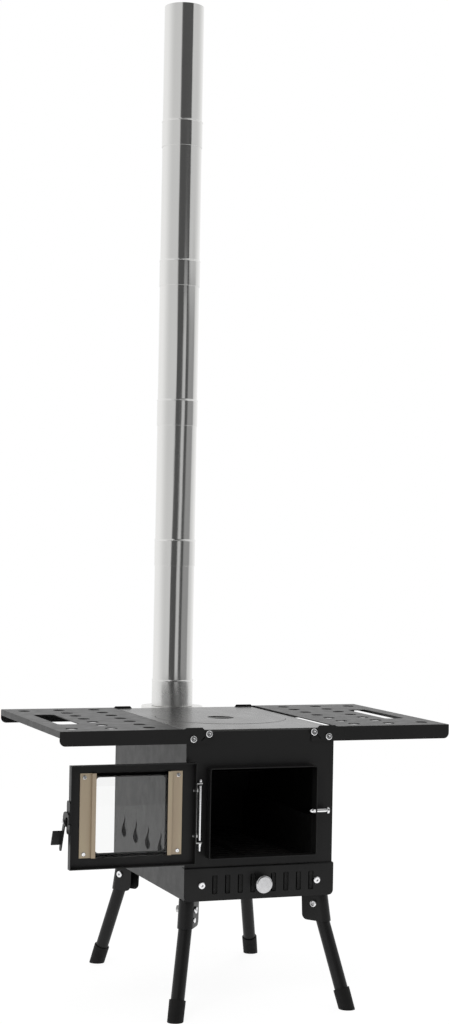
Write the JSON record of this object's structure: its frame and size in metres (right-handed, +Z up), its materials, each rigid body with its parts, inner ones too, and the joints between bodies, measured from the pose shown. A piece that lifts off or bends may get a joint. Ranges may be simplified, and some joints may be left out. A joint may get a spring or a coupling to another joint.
{
  "type": "tent wood stove",
  "caption": "Sheet-steel tent wood stove with a glazed door swung open, perforated folding side shelves, a lift-out hot plate, splayed folding legs and a tall sectional flue.",
  "frame": {"origin": "on the ground, under the middle of the firebox, in the plane of the four soles", "axes": "+Z up along the flue, -Y toward the front with the door, +X to the right as seen from the front"},
  "size_m": [0.652, 0.525, 1.67],
  "materials": {
    "black_steel": "matte heat-proof black paint on sheet steel",
    "plate_steel": "satin black hot plate",
    "grate_iron": "raw dark grate",
    "stainless": "polished stainless sheet",
    "zinc": "zinc-plated steel",
    "bright": "bright plated",
    "tan_strip": "dull yellowish passivated strip",
    "pane": "clear heat-proof glass",
    "gasket_cloth": "woven glass-fibre tape",
    "foot_rubber": "matte black rubber"
  },
  "bodies": {
    "body": {"body_shell": "black_steel", "front_plate": "black_steel", "back_plate": "black_steel", "top_plate": "plate_steel", "lid_ring": "black_steel", "door_collar": "black_steel", "liner_left": "black_steel", "liner_right": "black_steel", "smoke_baffle": "black_steel", "smoke_box": "black_steel", "smoke_box_screws": "bright", "flue_collar": "stainless", "air_panel": "black_steel", "damper_screws": "bright", "damper_nuts": "zinc", "hinge_bracket": "black_steel", "hinge_pin": "bright", "pin_clip": "bright", "keeper_bolt": "bright", "keeper_nut": "bright", "shelf_pivot_screws": "bright", "shelf_stop_screws": "bright", "shelf_nuts": "zinc", "leg_brackets": "black_steel", "leg_bolts": "bright", "leg_nuts": "zinc", "leg_buttons": "bright"},
    "door": {"door_pan": "black_steel", "door_gasket": "gasket_cloth", "door_glass": "pane", "glass_strips": "tan_strip", "glass_screws": "bright", "hinge_strap": "zinc", "hinge_screws": "bright", "hinge_nuts": "zinc", "latch_bracket": "black_steel", "latch_screw": "bright"},
    "latch": {"latch_lever": "black_steel"},
    "damper": {"damper_slide": "black_steel", "damper_knob": "bright"},
    "left_shelf": {"left_shelf": "black_steel"},
    "right_shelf": {"right_shelf": "black_steel"},
    "leg_front_left": {"leg_tube_front_left": "black_steel", "foot_front_left": "foot_rubber"},
    "leg_front_right": {"leg_tube_front_right": "black_steel", "foot_front_right": "foot_rubber"},
    "leg_back_left": {"leg_tube_back_left": "black_steel", "foot_back_left": "foot_rubber"},
    "leg_back_right": {"leg_tube_back_right": "black_steel", "foot_back_right": "foot_rubber"},
    "lid": {"lid": "plate_steel", "lid_cup": "black_steel"},
    "grate": {"grate": "grate_iron"},
    "flue_1": {"flue_1": "stainless"},
    "flue_2": {"flue_2": "stainless"},
    "flue_3": {"flue_3": "stainless"},
    "flue_4": {"flue_4": "stainless"},
    "flue_5": {"flue_5": "stainless"}
  },
  "joints": [
    {"name": "door_hinge", "type": "hinge", "parent": "body", "child": "door", "pos_m": [-0.1044, -0.1986, 0.31], "axis": [0, 0, -1], "range_deg": [-180, 0]},
    {"name": "latch_pivot", "type": "hinge", "parent": "door", "child": "latch", "pos_m": [-0.3134, -0.1836, 0.304], "axis": [-1, 0, 0], "range_deg": [0, 40]},
    {"name": "damper_slide", "type": "slide", "parent": "body", "child": "damper", "axis": [1, 0, 0], "range_m": [-0.004, 0.004]},
    {"name": "left_shelf_fold", "type": "hinge", "parent": "body", "child": "left_shelf", "pos_m": [-0.1125, 0, 0.423], "axis": [0, -1, 0], "range_deg": [-90, 0]},
    {"name": "right_shelf_fold", "type": "hinge", "parent": "body", "child": "right_shelf", "pos_m": [0.1125, 0, 0.423], "axis": [0, 1, 0], "range_deg": [-90, 0]},
    {"name": "leg_front_left_fold", "type": "hinge", "parent": "body", "child": "leg_front_left", "pos_m": [-0.1092, -0.162, 0.159], "axis": [-0.8192, 0.5736, 0], "range_deg": [-109.5, 0]},
    {"name": "leg_back_left_fold", "type": "hinge", "parent": "body", "child": "leg_back_left", "pos_m": [-0.1092, 0.162, 0.159], "axis": [0.8192, 0.5736, 0], "range_deg": [-109.5, 0]},
    {"name": "leg_front_right_fold", "type": "hinge", "parent": "body", "child": "leg_front_right", "pos_m": [0.1092, -0.162, 0.159], "axis": [-0.8192, -0.5736, 0], "range_deg": [-109.5, 0]},
    {"name": "leg_back_right_fold", "type": "hinge", "parent": "body", "child": "leg_back_right", "pos_m": [0.1092, 0.162, 0.159], "axis": [0.8192, -0.5736, 0], "range_deg": [-109.5, 0]},
    {"name": "lid_lift", "type": "slide", "parent": "body", "child": "lid", "axis": [0, 0, 1], "range_m": [0, 0.05]},
    {"name": "grate_lift", "type": "slide", "parent": "body", "child": "grate", "axis": [0, 0, 1], "range_m": [0, 0.02]},
    {"name": "flue_1_lift", "type": "slide", "parent": "body", "child": "flue_1", "axis": [0, 0, 1], "range_m": [0, 0.05]},
    {"name": "flue_2_lift", "type": "slide", "parent": "flue_1", "child": "flue_2", "axis": [0, 0, 1], "range_m": [0, 0.05]},
    {"name": "flue_3_lift", "type": "slide", "parent": "flue_2", "child": "flue_3", "axis": [0, 0, 1], "range_m": [0, 0.05]},
    {"name": "flue_4_lift", "type": "slide", "parent": "flue_3", "child": "flue_4", "axis": [0, 0, 1], "range_m": [0, 0.05]},
    {"name": "flue_5_lift", "type": "slide", "parent": "flue_4", "child": "flue_5", "axis": [0, 0, 1], "range_m": [0, 0.05]}
  ]
}
